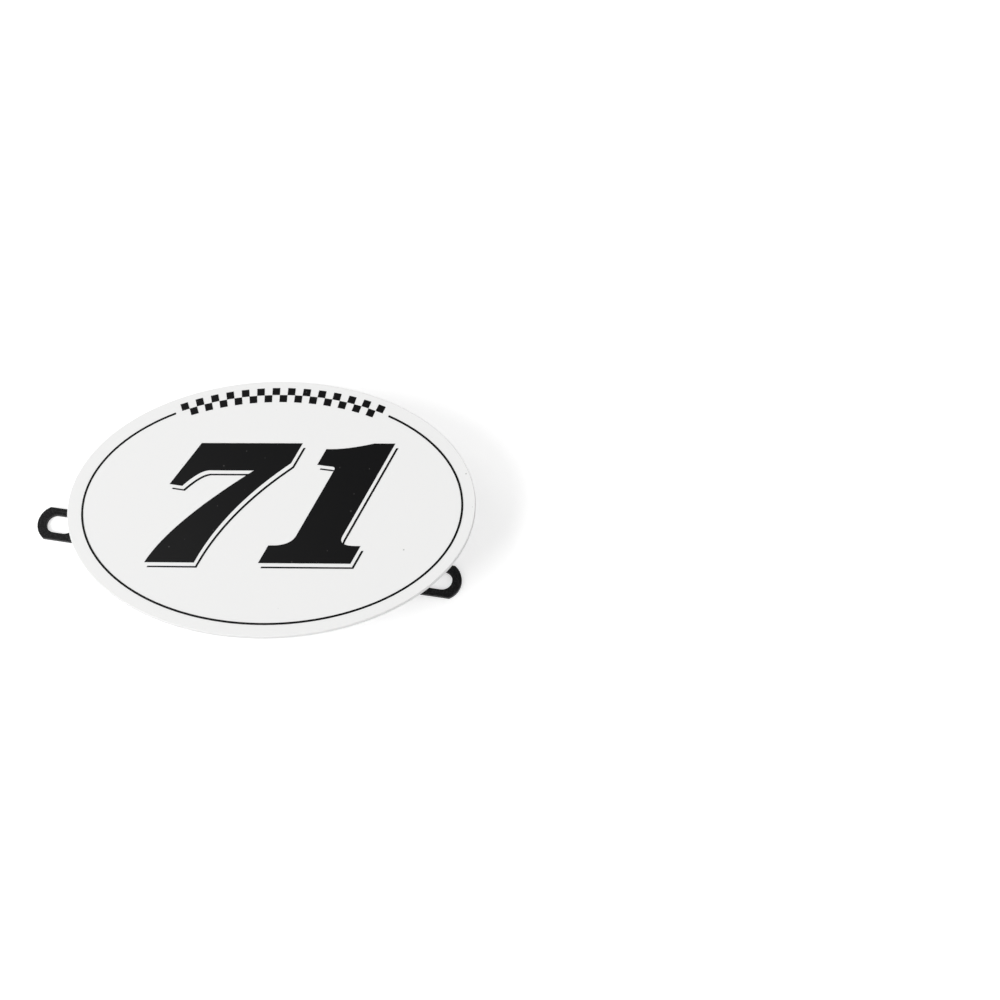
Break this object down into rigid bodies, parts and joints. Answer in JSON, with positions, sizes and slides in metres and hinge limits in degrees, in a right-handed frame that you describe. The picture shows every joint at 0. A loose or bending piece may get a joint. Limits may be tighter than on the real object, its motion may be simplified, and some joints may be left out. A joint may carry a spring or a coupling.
{
  "type": "racing number board",
  "caption": "Oval racing number board with printed figures, held by studs and nuts on a folded T-shaped bracket whose stepped arms end in slotted tabs.",
  "frame": {"origin": "midway between the two slots, on the plane that the tabs bolt down on", "axes": "+X along the line through the slots, +Y towards the top of the board, +Z out of the face that carries the number"},
  "size_m": [0.293, 0.1764, 0.0522],
  "materials": {
    "white_powder_coat": "smooth satin powder coat on aluminium sheet",
    "black_powder_coat": "fine textured powder coat on steel sheet",
    "black_nut": "glossy black plated steel",
    "stud_metal": "bright drawn stud",
    "black_film": "semi-gloss printed film"
  },
  "bodies": {
    "root": {"number_board": "white_powder_coat", "mounting_bracket": "black_powder_coat", "board_studs": "stud_metal", "flange_nuts": "black_nut", "border_stripe": "black_film", "chequer_band": "black_film", "race_number": "black_film", "number_drop_line": "black_film"}
  },
  "joints": []
}
